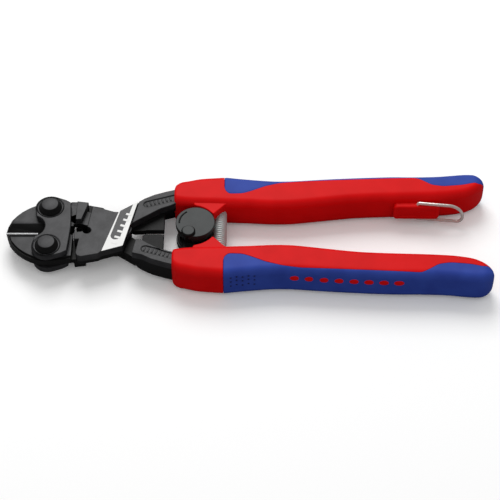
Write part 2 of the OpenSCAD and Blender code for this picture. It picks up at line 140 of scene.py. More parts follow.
WEB_TOP = 9.3 * MM          # the arms stay nearly black below this height
JAW_FACE = 9.6 * MM         # the jaws below this one
BOLT_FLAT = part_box("upper_jaw_bolt")[1].z - 0.1 * MM
OXIDE = ("#222224", "#333335", 0.4)      # dark and light colour, and the grain in mm
PHOSPHATE = ("#1F2323", "#262A2A", 0.3)
forged_steel = blackened_steel_with_painted_shade("blackened_forged_steel", *OXIDE)
arm_steel = blackened_steel_with_painted_shade("blackened_arm_steel_painted_shade_low", *OXIDE, WEB_TOP)
bolt_steel = blackened_steel_with_painted_shade("blackened_bolt_steel_painted_shade_low", *OXIDE, BOLT_FLAT)
lock_steel = blackened_steel_with_painted_shade("phosphated_lock_steel", *PHOSPHATE)
stud_steel = blackened_steel_with_painted_shade("phosphated_stud_steel_painted_shade_low", *PHOSPHATE, BOLT_FLAT)
pin_steel = blackened_steel_with_painted_shade("blackened_pin_steel", "#28282A", "#303032", 0.3)
print("steels", forged_steel.name, arm_steel.name, lock_steel.name, pin_steel.name)

# %% [markdown]
# The jaws are blackened too, and painted nearly black as shade below their face, but their cutting
# edges are ground afterwards, so a thin bright line runs along each edge. The line is a mask on the
# distance from the middle plane. It mixes bright metal into the same blackened recipe, and fine streaks
# across the edge show the grinding wheel's path.

# %% Ground cutting edges
def ground_edge_steel(edge_mm, throat_x):
    """Blackened steel with painted shade low down, and a bright ground line beside the middle plane."""
    material = blackened_steel_with_painted_shade("ground_edge_steel", *OXIDE, JAW_FACE)
    tree = material.node_tree
    shader = next(n for n in tree.nodes if n.type == "BSDF_PRINCIPLED")
    place = next(n for n in tree.nodes if n.type == "TEX_COORD").outputs["Object"]
    apart = add(tree, "ShaderNodeSeparateXYZ", links={"Vector": place})
    across = add(tree, "ShaderNodeMath", {"operation": "ABSOLUTE"}, {0: apart.outputs["Y"]})
    near = add(tree, "ShaderNodeMath", {"operation": "LESS_THAN", 1: edge_mm * MM}, {0: across.outputs[0]})
    ahead = add(tree, "ShaderNodeMath", {"operation": "LESS_THAN", 1: throat_x}, {0: apart.outputs["X"]})
    band = add(tree, "ShaderNodeMath", {"operation": "MULTIPLY"},
               {0: near.outputs[0], 1: ahead.outputs[0]}).outputs[0]
    stretch = add(tree, "ShaderNodeMapping", {"Scale": (1, 0.1, 0.1)}, {"Vector": place})
    wheel = add(tree, "ShaderNodeTexNoise", {"Scale": 1 / (0.15 * MM), "Detail": 3.0},
                {"Vector": stretch.outputs["Vector"]})
    streaks = add(tree, "ShaderNodeMix",
                  {"data_type": "RGBA", 6: linear("#DCDDDF"), 7: linear("#FAFAFB")},
                  {0: wheel.outputs["Fac"]})
    # The colour so far: oxide, with painted shade below the jaw's face.
    black = shader.inputs["Base Color"].links[0].from_socket
    colour = add(tree, "ShaderNodeMix", {"data_type": "RGBA"}, {0: band, 6: black, 7: streaks.outputs[2]})
    tree.links.new(colour.outputs[2], shader.inputs["Base Color"])
    metal = add(tree, "ShaderNodeMapRange", {"To Min": 0.2, "To Max": 0.35}, {"Value": band})
    tree.links.new(metal.outputs["Result"], shader.inputs["Metallic"])
    matt = shader.inputs["Roughness"].links[0].from_socket
    rough = add(tree, "ShaderNodeMix", {"data_type": "FLOAT", 3: 0.3}, {0: band, 2: matt})
    tree.links.new(rough.outputs[0], shader.inputs["Roughness"])
    return material


THROAT_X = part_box("upper_jaw_bolt")[0].x
jaw_steel = ground_edge_steel(0.35, THROAT_X)
print("ground line before x =", round(THROAT_X / MM, 1), "mm")

# %% [markdown]
# The spring and the tether's bow are drawn wire, which is smoother than forged steel. The spring is
# oiled spring steel and looks pale grey. The bow is nickel plated, and is the brightest metal here.
# Drawing leaves only a faint unevenness, which breaks up the highlight a little.

# %% Drawn wire
def drawn_wire(name, dark, light, roughness, metallic):
    """Smooth bright metal with faint unevenness from the drawing die."""
    material, tree, shader, place = new_finish(name, {"Metallic": metallic})
    uneven = add(tree, "ShaderNodeTexNoise", {"Scale": 1 / (1.2 * MM), "Detail": 3.0}, {"Vector": place})
    colour = add(tree, "ShaderNodeMix", {"data_type": "RGBA", 6: linear(dark), 7: linear(light)},
                 {0: uneven.outputs["Fac"]})
    tree.links.new(colour.outputs[2], shader.inputs["Base Color"])
    rough = add(tree, "ShaderNodeMapRange", {"To Min": roughness - 0.06, "To Max": roughness + 0.06},
                {"Value": uneven.outputs["Fac"]})
    tree.links.new(rough.outputs["Result"], shader.inputs["Roughness"])
    return material


spring_steel = drawn_wire("oiled_spring_steel", "#C4C9C8", "#D6DAD9", 0.6, 0.6)
nickel = drawn_wire("nickel_plated_wire", "#E6E0D8", "#F8F4EE", 0.2, 0.6)
print("wires", spring_steel.name, nickel.name)

# %% [markdown]
# ## The plastics and the label
# The grips are moulded in two shots. The hard red core is polypropylene, with a satin spark-eroded
# texture from the mould. The blue pads are a soft thermoplastic elastomer, which is rougher and takes
# a little sheen. The label is baked enamel on the steel. All of them are one recipe: a colour that
# hardly varies, and a grain in the bump with its real size.

# %% Moulded plastic and enamel
def moulded(name, dark, light, grain_mm, depth_mm, settings):
    """A dielectric skin with a faint colour drift and a fine moulded grain."""
    material, tree, shader, place = new_finish(name, settings)
    drift = add(tree, "ShaderNodeTexNoise", {"Scale": 1 / (9 * MM), "Detail": 3.0}, {"Vector": place})
    share = add(tree, "ShaderNodeMapRange", {"From Min": 0.35, "From Max": 0.65},
                {"Value": drift.outputs["Fac"]})
    colour = add(tree, "ShaderNodeMix", {"data_type": "RGBA", 6: linear(dark), 7: linear(light)},
                 {0: share.outputs["Result"]})
    tree.links.new(colour.outputs[2], shader.inputs["Base Color"])
    grain = add(tree, "ShaderNodeTexNoise", {"Scale": 1 / (grain_mm * MM), "Detail": 3.0},
                {"Vector": place})
    bump = add(tree, "ShaderNodeBump", {"Strength": 0.35, "Distance": depth_mm * MM},
               {"Height": grain.outputs["Fac"]})
    tree.links.new(bump.outputs["Normal"], shader.inputs["Normal"])
    return material


red_plastic = moulded("satin_red_polypropylene", "#D40205", "#DC0609", 0.5, 0.03,
                      {"Roughness": 0.5, "IOR": 1.49, "Specular IOR Level": 0.1})
blue_rubber = moulded("soft_blue_elastomer", "#28409A", "#2E48A4", 0.6, 0.05,
                      {"Roughness": 0.6, "IOR": 1.5, "Specular IOR Level": 0.2})
# Painted shade: the pips' darker blue stands in for the shading round each small dome.
shaded_pip_rubber = moulded("shade_darkened_blue_elastomer", "#152058", "#1A2868", 0.6, 0.05,
                     {"Roughness": 0.6, "IOR": 1.5, "Specular IOR Level": 0.2})
white_enamel = moulded("baked_white_enamel", "#E6E6E4", "#EEEEEC", 0.8, 0.02,
                       {"Roughness": 0.4, "IOR": 1.5, "Specular IOR Level": 0.3})
dark_enamel = moulded("baked_dark_enamel", "#262628", "#2E2E30", 0.4, 0.03,
                      {"Roughness": 0.45, "IOR": 1.5})
print("plastics", red_plastic.name, blue_rubber.name)

# %% [markdown]
# ## Making a piece
# Each finished piece is one mesh that sits at the origin and rides on a CAD body. Faces are smooth, and
# an edge stays sharp where its two faces meet steeply.

# %% One function makes the object
def new_piece(name, bm, body, material, stands_for=(), sharp=38):
    """Turns a bmesh into a piece that rides on a body and may stand for CAD nodes."""
    for face in bm.faces:
        face.smooth = True
    for edge in bm.edges:
        edge.smooth = edge.calc_face_angle(0) < math.radians(sharp)
    mesh = bpy.data.meshes.new(name)
    bm.to_mesh(mesh)
    bm.free()
    mesh.materials.append(material)
    piece = bpy.data.objects.new(name, mesh)
    bpy.context.scene.collection.objects.link(piece)
    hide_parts(*stands_for)
    if body:
        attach(piece, body)
    return piece


def cad_copy(node):
    """A CAD node's mesh as a bmesh, with its loose triangles merged into one skin."""
    bm = bmesh.new()
    bm.from_mesh(frame["nodes"][node].data)
    bmesh.ops.remove_doubles(bm, verts=bm.verts, dist=0.002 * MM)
    return bm


def round_edges(piece, width_mm, segments=2, angle=28):
    """Rounds a piece's sharp edges, as blasting and handling do."""
    bevel = piece.modifiers.new("edges", "BEVEL")
    bevel.width = width_mm * MM
    bevel.segments = segments
    bevel.profile = 0.5
    bevel.affect = "EDGES"
    bevel.limit_method = "ANGLE"
    bevel.angle_limit = math.radians(angle)
    bevel.use_clamp_overlap = False
    bevel.loop_slide = False
    bevel.harden_normals = True
    return piece


# %% [markdown]
# ## The steel pieces
# CAD edges are perfectly sharp, and a perfectly sharp edge never catches the light. Forged steel has
# edges of a few tenths of a millimetre, and light picks each one out as a thin pale line. So each of
# these nodes is copied, its loose triangles are merged into one skin, and its edges are rounded by a
# width that suits the piece.

# %% Copies with rounded edges
STEEL = [
    # node, body, slot, finish, edge width in mm
    ("upper_handle_arm", "upper_handle", "forged_steel", arm_steel, 0.3),
    ("lower_handle_arm", "lower_handle", "forged_steel", arm_steel, 0.3),
    ("upper_jaw", "upper_jaw", "forged_steel", jaw_steel, 0.2),
    ("lower_jaw", "lower_jaw", "forged_steel", jaw_steel, 0.2),
    ("front_link_plate", "head", "forged_steel", forged_steel, 0.4),
    ("back_link_plate", "head", "forged_steel", forged_steel, 0.4),
    ("jaw_bolt_nuts", "head", "forged_steel", pin_steel, 0.3),
    ("lock_front_disc", "lock", "lock_steel", lock_steel, 0.25),
    ("lock_back_disc", "lock", "lock_steel", lock_steel, 0.25),
    ("lock_pivot_rivet", "lower_handle", "lock_steel", stud_steel, 0.12),
]
for node, body, slot, finish, width in STEEL:
    copy = new_piece(node + "_finished", cad_copy(node), body, finish, [node])
    round_edges(copy, width)
    print(node, len(copy.data.polygons), "faces, edges", width, "mm")

# %% [markdown]
# A jaw bolt is a turned part, so it is a profile spun round its axis: a flat top, a broad cone down to
# the rim, a short wall and the shank. Its flat catches the light, and its cone is painted nearly black
# as shade.

# %% The jaw bolts
def bolt(node):
    """A bolt with a coned head, to the size of its CAD node."""
    low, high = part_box(node)
    centre, rim = (low + high) / 2, (high.x - low.x) / 2
    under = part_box("front_link_plate")[1].z - 0.2 * MM
    wall, flat, shank = under + 0.5 * MM, 0.7 * rim, 0.62 * rim
    profile = [(0, high.z), (flat - 0.15 * MM, high.z), (flat, high.z - 0.05 * MM),
               (rim - 0.25 * MM, wall + 0.2 * MM), (rim, wall - 0.1 * MM), (rim, under), (shank, under),
               (shank, low.z), (0, low.z)]
    bm = bmesh.new()
    verts = [bm.verts.new((centre.x + r, centre.y, z)) for r, z in profile]
    edges = [bm.edges.new(pair) for pair in zip(verts, verts[1:])]
    bmesh.ops.spin(bm, geom=verts + edges, cent=centre, axis=(0, 0, 1), angle=2 * math.pi, steps=72,
                   use_merge=True, use_duplicate=False)
    bmesh.ops.remove_doubles(bm, verts=bm.verts, dist=0.001 * MM)
    bmesh.ops.recalc_face_normals(bm, faces=bm.faces)
    return bm


# The bolt finish paints shade: everything but the flat top is nearly black.
for node in ("upper_jaw_bolt", "lower_jaw_bolt"):
    new_piece(node + "_turned", bolt(node), "head", bolt_steel, [node], 30)
bolt_low, bolt_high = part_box("upper_jaw_bolt")
print("bolt heads", round((bolt_high.x - bolt_low.x) / MM, 1), "mm")

# %% [markdown]
# Three small forged details are boxes and prisms: the shoulder of the upper jaw beside the link plate,
# the corner that joins the upper arm's web to its root, and a row of plain ribs in each arm's sunk
# panel, which catch the light as the raised mark of a forging does.

# %% Ribs, shoulder and web corner
def blocks(places, width_mm):
    """A piece of equal boxes, bevelled. Each place is the matrix of a unit cube."""
    bm = bmesh.new()
    for place in places:
        bmesh.ops.create_cube(bm, size=1, matrix=place)
    bmesh.ops.bevel(bm, geom=bm.edges[:], offset=width_mm * MM, segments=2, profile=0.5, affect="EDGES",
                    material=-1)
    return bm


RIB = Vector((0.7, 2.0, 0.3)) * MM
RIB_STEP = 1.7 * MM
RIBS = 7
PANEL = Vector((-41.9, 12.2, 12.22)) * MM
PANEL_TURN = math.radians(18)
SHOULDER = Vector((-71.6, 14.4, 7.3)) * MM
SHOULDER_SIZE = Vector((5.0, 3.0, 4.8)) * MM
for side, name in ((1, "upper"), (-1, "lower")):
    start = Matrix.Translation((PANEL.x, side * PANEL.y, PANEL.z))
    start = start @ Matrix.Rotation(side * PANEL_TURN, 4, "Z")
    places = [start @ Matrix.Translation((k * RIB_STEP, 0, 0)) @ Matrix.Diagonal((*RIB, 1))
              for k in range(RIBS)]
    new_piece(name + "_panel_ribs", blocks(places, 0.12), name + "_handle", forged_steel)

shoulder = Matrix.Translation(SHOULDER) @ Matrix.Diagonal((*SHOULDER_SIZE, 1))
new_piece("upper_jaw_shoulder", blocks([shoulder], 0.4), "upper_jaw", forged_steel)
WEB_CORNER = [(-48.2, 1.3), (-46.5, 0.7), (-42.0, 1.05), (-42.0, 7.5), (-45.6, 5.0)]
WEB_FLOOR = 6.1 * MM
WEB_RISE = 2.45 * MM
bm = bmesh.new()
face = bm.faces.new([bm.verts.new((x * MM, y * MM, WEB_FLOOR)) for x, y in WEB_CORNER])
raised = bmesh.ops.extrude_face_region(bm, geom=[face])["geom"]
tops = [g for g in raised if isinstance(g, bmesh.types.BMVert)]
bmesh.ops.translate(bm, vec=(0, 0, WEB_RISE), verts=tops)
bmesh.ops.recalc_face_normals(bm, faces=bm.faces)
new_piece("upper_web_corner", bm, "upper_handle", arm_steel)
print(RIBS, "ribs in each panel,", RIB_STEP / MM, "mm apart")

# %% [markdown]
# The label carries a row of six plain white bars, where a maker would print a name. The row slants
# with the label and lies to one side of the dark field, so its bars run on to the white border.

# %% Bars on the label
BARS = 6
BAR = (1.1 * MM, 2.4 * MM, 0.1 * MM)
row_start = Vector((-54.3, -9.3, 0)) * MM
row_end = Vector((-49.1, 6.2, 0)) * MM
row = row_end - row_start
lie = Matrix.Rotation(math.atan2(row.y, row.x), 4, "Z")
places = []
for k in range(BARS):
    spot = row_start + row * k / (BARS - 1)
    spot.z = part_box("label_field")[1].z
    places.append(Matrix.Translation(spot) @ lie @ Matrix.Diagonal((*BAR, 1)))
new_piece("label_bars", blocks(places, 0.03), "upper_handle", white_enamel)
print(BARS, "bars,", round(row.length / MM / (BARS - 1), 1), "mm apart")

# %% [markdown]
# The small pins, the spacer, the cups and the label are already right in the frame, so they only take
# a finish.

# %% Finishes for the frame's own pieces
KEPT = {
    "pivot_rivet": pin_steel, "upper_knuckle_pin": spring_steel, "lower_knuckle_pin": spring_steel,
    "lock_catch_pin": pin_steel, "lock_spacer": forged_steel, "upper_spring_cup": spring_steel,
    "lower_spring_cup": spring_steel, "label_border": white_enamel, "label_field": dark_enamel,
}
for node, finish in KEPT.items():
    mesh = frame["nodes"][node].data
    mesh.materials.clear()
    mesh.materials.append(finish)
print(len(KEPT), "nodes keep their shape")

# %% [markdown]
# ## The grips
# A grip is a long curved bar with rounded edges, hollowed for the steel and for the soft pad. A loft
# suits it: rings across the bar, each a rounded rectangle, joined by one skin. The outline is measured
# on the CAD grip with rays at a few stations, and a smooth curve runs through the measured points.

# %% Measure the outline of the lower grip
def tree_of(*nodes):
    """The faces of some CAD nodes, ready for rays."""
    points, faces = [], []
    for node in nodes:
        mesh = frame["nodes"][node].data
        first = len(points)
        points += [v.co.copy() for v in mesh.vertices]
        faces += [[first + i for i in p.vertices] for p in mesh.polygons]
    return BVHTree.FromPolygons(points, faces)


GRIP_TREE = tree_of("lower_grip_core", "lower_grip_pad")
PAD_TREE = tree_of("lower_grip_pad")
pad_low, pad_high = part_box("lower_grip_pad")
FRONT, TAIL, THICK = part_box("lower_grip_core")[0].x, pad_high.x, pad_high.z
MID = THICK / 2
WIDEST = -pad_low.y
EDGE = 3.3 * MM             # radius of the grip's long edges
END = 4.5 * MM              # radius of its tail's edge
CLEAR = 0.02 * MM           # rays stay this far from an end


def distance_out(tree, x, depth, from_outside):
    """How far the grip's wall is from the tool's middle plane, at a depth under its top face."""
    start = Vector((x, -0.06 if from_outside else 0, THICK - depth))
    spot = tree.ray_cast(start, Vector((0, 1 if from_outside else -1, 0)))[0]
    return None if spot is None else -spot.y


# Distances from the grip's front, in mm, closer together where the outline bends
STATIONS = [0, 2.5, 6, 10.5, 16.5, 21.5, 26, 31.8, 40.2, 46.5, 52.5, 63.5, 76.5, 90.5, 100.5, 110.5,
            116.5, 122.5, 126.5, 129.5]
FLANGE_END = 25 * MM        # before this, a flange hides the inner wall at mid height
UNDER_FLANGE = 1.1 * MM
plain = FRONT + 60 * MM
rounding = (distance_out(GRIP_TREE, plain, UNDER_FLANGE, False)
            - distance_out(GRIP_TREE, plain, MID, False))
xs = [FRONT + s * MM for s in STATIONS] + [TAIL]
inner, outer = [], []
for x in xs:
    at = min(max(x, FRONT + CLEAR), TAIL - CLEAR)
    outer.append(distance_out(GRIP_TREE, at, MID, True))
    if x < FRONT + FLANGE_END:
        inner.append(distance_out(GRIP_TREE, max(at, FRONT + MM), UNDER_FLANGE, False) - rounding)
    else:
        inner.append(distance_out(GRIP_TREE, at, MID, False))
print("grip", round((TAIL - FRONT) / MM, 1), "mm long,", round(THICK / MM, 1), "mm thick, widths",
      [round((b - a) / MM, 1) for a, b in zip(inner, outer)])

# %% [markdown]
# A curve through measured points has to pass through each of them and still be smooth. A Catmull-Rom
# curve does that. The inner and the outer wall are one run of points that turns round at the tail, so
# the tail comes out round without any special case.

# %% A smooth outline
OUTLINE = list(zip(xs, inner)) + list(zip(reversed(xs), reversed(outer)))


def along(t):
    """The outline at t, where whole numbers are the measured points."""
    i = min(int(t), len(OUTLINE) - 2)
    u = t - i
    a, b, c, d = (OUTLINE[min(max(i + k, 0), len(OUTLINE) - 1)] for k in (-1, 0, 1, 2))
    return [0.5 * (2 * q + (r - p) * u + (2 * p - 5 * q + 4 * r - s) * u * u
                   + (3 * q - p - 3 * r + s) * u ** 3) for p, q, r, s in zip(a, b, c, d)]


def walls(x):
    """The inner and the outer wall at x, by halving the steps towards it."""
    low, high = 0.0, len(xs) - 1.0
    for _ in range(30):
        t = (low + high) / 2
        low, high = (t, high) if along(t)[0] < x else (low, t)
    return along(low)[1], min(along(len(OUTLINE) - 1 - low)[1], WIDEST)


print("at 80 mm from the front:", [round(w / MM, 2) for w in walls(FRONT + 80 * MM)])

# %% [markdown]
# Each ring is a rounded rectangle. A place on it is a number from -1 to 1: 0 is the middle of the outer
# side, 1 the middle of the inner side over the top, and -1 the same point by way of the bottom. Near
# the tail the ring also gets thinner, which closes the end as a dome. Sinking a ring moves its skin
# inwards, and that makes the recess for the pad.

# %% The ring at any station
NOSE = 1.0 * MM             # radius of the front's edge


def quarter(distance, radius):
    """How far a rounded edge draws in at a distance from the end that it rounds."""
    if distance >= radius:
        return 0
    return radius - math.sqrt(radius ** 2 - (radius - max(distance, 0)) ** 2)


def section(x):
    """Inner wall, outer wall, half thickness and the sideways radius of the edges."""
    near, far = walls(x)
    draw = quarter(x - FRONT, NOSE)
    half = MID - quarter(TAIL - x, END) - draw
    return near + draw, far - draw, half, min(EDGE, 0.375 * (far - near))


SIDE, TURN = 0.12, 0.25      # shares of a ring's number for its side and for one rounded edge
FACE = 1 - 2 * (SIDE + TURN)


def ring_point(x, v, sink=0):
    """The point at v on the ring at x, sunk under the skin."""
    near, far, half, edge = section(x)
    sink = min(sink, 0.3 * (far - near))
    near, far, half, edge = near + sink, far - sink, half - sink, edge - sink
    up = min(EDGE - sink, half)
    v = (v + 1) % 2 - 1
    w, sign = abs(v), -1 if v < 0 else 1
    if w < SIDE:
        y, z = far, (half - up) * w / SIDE
    elif w < SIDE + TURN:
        a = math.pi / 2 * (w - SIDE) / TURN
        y, z = far - edge * (1 - math.cos(a)), half - up + up * math.sin(a)
    elif w < SIDE + TURN + FACE:
        share = (w - SIDE - TURN) / FACE
        y, z = far - edge - (far - near - 2 * edge) * share, half
    elif w < 1 - SIDE:
        a = math.pi / 2 * (1 - (w - SIDE - TURN - FACE) / TURN)
        y, z = near + edge * (1 - math.cos(a)), half - up + up * math.sin(a)
    else:
        y, z = near, (half - up) * (1 - w) / SIDE
    return Vector((x, y, MID + sign * z))


print("a ring at mid length:", [round(c / MM, 1) for c in ring_point(FRONT + 60 * MM, 0.5)])

# %% [markdown]
# The pad's border is measured in the same way, and averaged over a few millimetres so that its corners
# come out soft. The border is then turned into a ring number, and the core and the pad share it, so
# the two always fit.

# %% The border between core and pad
PAD_FRONT = pad_low.x
PAD_CORNER = 3 * MM
SPREAD = [k * MM for k in (-1, -0.5, 0, 0.5, 1)]


def pad_width(x):
    """How far the pad comes in from the outer wall at x."""
    found = []
    for step in SPREAD:
        at = min(max(x + step, PAD_FRONT + CLEAR), TAIL - CLEAR)
        border = distance_out(PAD_TREE, at, 1.0 * MM, False)
        near, far = walls(at)
        found.append(far - (near if border is None else max(border, near)))
    return sum(found) / len(found) - quarter(x - PAD_FRONT, PAD_CORNER)


def border_number(x):
    """The ring number of the pad's border at x."""
    x = max(x, PAD_FRONT)
    near, far, half, edge = section(x)
    width = pad_width(x)
    flat = far - near - 2 * edge
    if width < edge:
        return SIDE + TURN * math.acos(1 - width / edge) / (math.pi / 2)
    if width < edge + flat:
        return SIDE + TURN + FACE * (width - edge) / flat
    rest = min(max(far - near - width, 0) / edge, 1)
    return min(1 - SIDE - TURN * math.acos(1 - rest) / (math.pi / 2), 0.97)


print("border numbers", [round(border_number(FRONT + s * MM), 2) for s in (21, 30, 45, 80, 105, 120)])

# %% [markdown]
# bmesh's grid operator makes a sheet of square faces. Its corners are moved on to the rings, the seam
# is merged, and the open ends are filled. The same function makes the core, the pad, the flanges and
# the wires.

# %% Lofting a skin over rings
def loft(rings):
    """A closed skin over rings that all have the same number of points."""
    rows, columns = len(rings), len(rings[0])
    bm = bmesh.new()
    bmesh.ops.create_grid(bm, x_segments=rows - 1, y_segments=columns, size=1)
    for vert in bm.verts:
        i = round((vert.co.x + 1) / 2 * (rows - 1))
        j = round((vert.co.y + 1) / 2 * columns)
        vert.co = rings[i][j % columns]
    bmesh.ops.remove_doubles(bm, verts=bm.verts, dist=0.001 * MM)
    bmesh.ops.holes_fill(bm, edges=[e for e in bm.edges if e.is_boundary], sides=0)
    bmesh.ops.recalc_face_normals(bm, faces=bm.faces)
    return bm


def spaced(low, high, count):
    """Evenly spaced numbers, with both ends."""
    return [low + (high - low) * k / (count - 1) for k in range(count)]


print("loft ready")

# %% [markdown]
# The core's ring goes round the red skin, drops into the recess at the border and comes back under the
# pad. Rings are close together at the front edge, at the pad's front and over the dome of the tail.

# %% The red cores
SINK = 0.9 * MM             # depth of the recess
DOME = 5 * MM
FRONT_STEPS = [k * MM for k in (0, 0.08, 0.3, 0.6, 1.0)]
dome_xs = [TAIL - DOME * (1 - math.sin(math.pi / 2 * k / 14)) for k in range(15)]
body_xs = spaced(FRONT + 2 * MM, TAIL - DOME - MM, 100)
CORE_TAIL = TAIL - 0.02 * MM


def core_ring(x, sunk):
    """The core's ring at x, with its floor sunk where the pad lies on it."""
    border = border_number(x)
    step = 0.004
    skin = [ring_point(x, v) for v in spaced(border, 2 - border, 56)]
    under = spaced(-border + step, border - step, 40)
    return skin + [ring_point(x, v, SINK if sunk else 0) for v in under]


core_xs = [FRONT + s for s in FRONT_STEPS] + [x for x in body_xs + dome_xs if x < CORE_TAIL]
core_xs = sorted(core_xs + [PAD_FRONT + s * MM for s in (-0.03, 0, 0.4, 0.9, 1.6, 2.3, 3)] + [CORE_TAIL])
core_rings = [core_ring(x, x > PAD_FRONT - 0.01 * MM) for x in core_xs]
print(len(core_rings), "rings of", len(core_rings[0]), "points")

# %% [markdown]
# The pad is a closed shell. Its outer skin is flush with the core, its rim turns in with a small round
# lip, its tail is closed flat, and its inner wall lies just above the floor of the recess. The thin
# gap beside the lip gives the dark line that separates the two shots on the real grip.

# %% The blue pads
LIP = 0.45 * MM
LIP_STEPS = [k * MM for k in (0.07, 0.15, 0.27, 0.45)]
PAD_WALL = 0.75 * MM
AROUND = 24 * MM            # about half of the way round a ring


def pad_ring(x):
    """The pad's ring at x: its skin between the two lips, and its inner wall."""
    border = border_number(x)
    end_sink = quarter(x - PAD_FRONT - 0.06 * MM, LIP)
    lips = [(border - s / AROUND, quarter(s, LIP)) for s in LIP_STEPS]
    skin = [(-v, s) for v, s in lips] + [(v, 0) for v in spaced(-lips[-1][0], lips[-1][0], 42)[1:-1]]
    skin += list(reversed(lips))
    under = spaced(lips[0][0], -lips[0][0], 34)
    outside = [ring_point(x, v, max(s, end_sink)) for v, s in skin]
    return outside + [ring_point(x, v, PAD_WALL) for v in under]


pad_xs = [PAD_FRONT + s for s in LIP_STEPS] + [PAD_FRONT + s * MM for s in (0.7, 1.1, 1.6, 2.3, 3)]
pad_xs += [x for x in body_xs + dome_xs[:-1] if x > PAD_FRONT + 3.2 * MM] + [TAIL - 0.01 * MM]
pad_rings = [pad_ring(x) for x in pad_xs]
for side, name in ((1, "upper"), (-1, "lower")):
    turn = Matrix.Diagonal((1, side, 1, 1))
    core = loft([[turn @ p for p in ring] for ring in core_rings])
    new_piece(name + "_grip_shell", core, name + "_handle", red_plastic,
              [name + "_grip_core"])
    pad = loft([[turn @ p for p in ring] for ring in pad_rings])
    new_piece(name + "_soft_pad", pad, name + "_handle", blue_rubber,
              [name + "_grip_pad"])
print("pad rings", len(pad_rings), "of", len(pad_rings[0]), "points")

# %% [markdown]
# Small domes stand on the pads. Three staggered rows of pips near the front tell the hand where the pad
# begins, and a line of red ovals runs along the outer side. Each dome is a flattened sphere, set halfway
# into the skin. The pips are a darker blue than the pad, painted shade for the shading round each one.

# %% Pips and ovals on the pads
def domes(places, size, side):
    """Flattened spheres on the outer side of a grip. A place is a distance along and a ring number."""
    bm = bmesh.new()
    for ahead, v in places:
        spot = ring_point(FRONT + ahead, v)
        spot.y = side * min(spot.y, WIDEST - size.y)
        bmesh.ops.create_uvsphere(bm, u_segments=16, v_segments=10, radius=1,
                                  matrix=Matrix.Translation(spot) @ Matrix.Diagonal((*size, 1)))
    return bm


PIPS = [((24 + 2.4 * k) * MM, v + 0.02 * (k % 2)) for k in range(5) for v in (-0.03, 0.05, 0.12)]
OVALS = [((50 + 6 * k) * MM, 0.06) for k in range(8)]
PIP_SIZE = Vector((0.45, 0.22, 0.45)) * MM
OVAL_SIZE = Vector((2.1, 0.15, 1.45)) * MM
for side, name in ((1, "upper"), (-1, "lower")):
    body = name + "_handle"
    new_piece(name + "_pad_pips", domes(PIPS, PIP_SIZE, side), body, shaded_pip_rubber)
    new_piece(name + "_pad_ovals", domes(OVALS, OVAL_SIZE, side), body, red_plastic)
print(len(PIPS), "pips and", len(OVALS), "ovals on each pad")

# %% [markdown]
# Between the grip and the lock, each core has a flat flange that holds the spring. Its inner edge curves
# round the lock and then slants back past the spring. Rays measure that edge on the frame, and a loft of
# four-cornered rings makes the flange.

# %% The flanges beside the lock
FLANGE_EDGE = 1.3 * MM
FLANGE_ROOT = 12.6 * MM
FLANGE_XS = [-22.2, -21.2, -20.2, -19.2, -18.2, -17.2, -16.4, -15.6, -15.0, -14.5, -13.9, -12.7, -11.5,
             -10.3, -9.2, -8.6]
CORE_TREE = tree_of("lower_grip_core")
flange_edge = [(x * MM, distance_out(CORE_TREE, x * MM, 1.9 * MM, False)) for x in FLANGE_XS]
for side, name in ((1, "upper"), (-1, "lower")):
    low, high, root = FLANGE_EDGE, THICK - FLANGE_EDGE, side * FLANGE_ROOT
    rings = [[Vector((x, side * edge, low)), Vector((x, side * edge, high)), Vector((x, root, high)),
              Vector((x, root, low))] for x, edge in flange_edge]
    piece = new_piece(name + "_spring_flange", loft(rings), name + "_handle", red_plastic, (), 30)
    round_edges(piece, 0.45, 3, 50)
print("flange edge", [round(edge / MM, 1) for x, edge in flange_edge])

# %% [markdown]
# ## The opening spring
# The spring is a coil of round wire between two cups, and it pushes the handles apart. Closed, it is
# wound almost solid. A helix is a path with a formula, so a ring of wire is carried along it.

# %% Wire along a path
def wire(path, radius, sides):
    """A closed wire along a path. Each ring is turned from the last, so the wire doesn't twist."""
    rings = []
    across = Vector((0.1, 1, 0.1))
    for k, spot in enumerate(path):
        ahead = (path[min(k + 1, len(path) - 1)] - path[max(k - 1, 0)]).normalized()
        across = (across - ahead * across.dot(ahead)).normalized()
        other = ahead.cross(across)
        rings.append([spot + radius * (across * math.cos(a) + other * math.sin(a))
                      for a in (2 * math.pi * s / sides for s in range(sides))])
    return loft(rings)


# %% Coil the spring
WIRE = 0.95 * MM
spring_low, spring_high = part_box("opening_spring")
coil_r = (spring_high.x - spring_low.x - WIRE) / 2
coil_x = (spring_high.x + spring_low.x) / 2
coil_start = spring_low.y + WIRE / 2
coil_length = spring_high.y - spring_low.y - WIRE
PITCH = 1.16                # distance between turns, in wire widths
turns = round(coil_length / (PITCH * WIRE))
steps = 18 * turns
coil = []
for k in range(steps + 1):
    angle = 2 * math.pi * turns * k / steps
    coil.append(Vector((coil_x + coil_r * math.cos(angle), coil_start + coil_length * k / steps,
                        MID + coil_r * math.sin(angle))))
spring = new_piece("coil_spring", wire(coil, WIRE / 2, 8), None, spring_steel,
                   ["opening_spring"], 60)
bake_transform(spring)
print(turns, "turns of", WIRE / MM, "mm wire, coil radius", round(coil_r / MM, 2), "mm")

# %% [markdown]
# ## The tether
# A red block on the inside of the upper grip holds a bow of nickel-plated wire, where a safety lanyard
# clips on. The block is a box with its corners bevelled in plan, then lightly on every edge, with a
# shallow panel pressed into its face. The bow is wire along a path with a wide and a tight corner.

